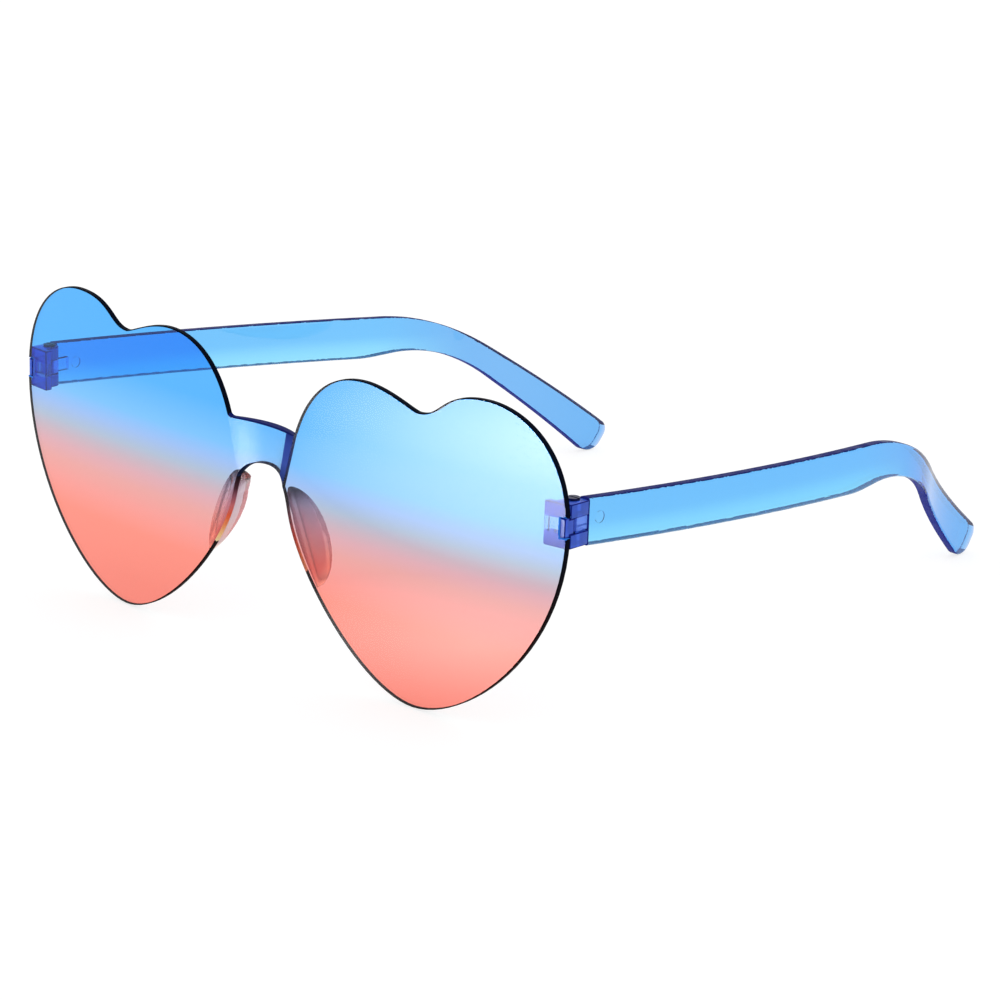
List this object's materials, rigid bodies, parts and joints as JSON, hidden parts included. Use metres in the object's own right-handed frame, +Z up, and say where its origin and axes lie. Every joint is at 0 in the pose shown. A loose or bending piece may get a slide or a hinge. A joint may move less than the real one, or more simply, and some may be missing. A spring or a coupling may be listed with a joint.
{
  "type": "heart shaped sunglasses",
  "caption": "Rimless heart shaped sunglasses: a moulded lens front in fading tints, clear nose pads and see-through temples that fold on screwed hinges.",
  "frame": {"origin": "on the table, under the middle of the open sunglasses", "axes": "+Z up, +Y from the lenses back along the temples, +X towards the wearer's left"},
  "size_m": [0.1424, 0.1552, 0.0595],
  "materials": {
    "gradient_lens": "polished transparent polycarbonate, blue fading to coral",
    "clear_pad": "clear moulded plastic",
    "blue_plastic": "polished transparent blue plastic",
    "screw_steel": "small turned steel screw"
  },
  "bodies": {
    "front": {"front_shield": "gradient_lens", "nose_pad_left": "clear_pad", "nose_pad_right": "clear_pad", "hinge_lug_left": "blue_plastic", "hinge_lug_right": "blue_plastic", "hinge_screw_left": "screw_steel", "hinge_screw_right": "screw_steel"},
    "left_arm": {"temple_left": "blue_plastic"},
    "right_arm": {"temple_right": "blue_plastic"}
  },
  "joints": [
    {"name": "left_fold", "type": "hinge", "parent": "front", "child": "left_arm", "pos_m": [0.0686, -0.0693, 0.0403], "axis": [0, 0, 1], "range_deg": [0, 84]},
    {"name": "right_fold", "type": "hinge", "parent": "front", "child": "right_arm", "pos_m": [-0.0686, -0.0693, 0.0403], "axis": [0, 0, -1], "range_deg": [0, 77]}
  ]
}
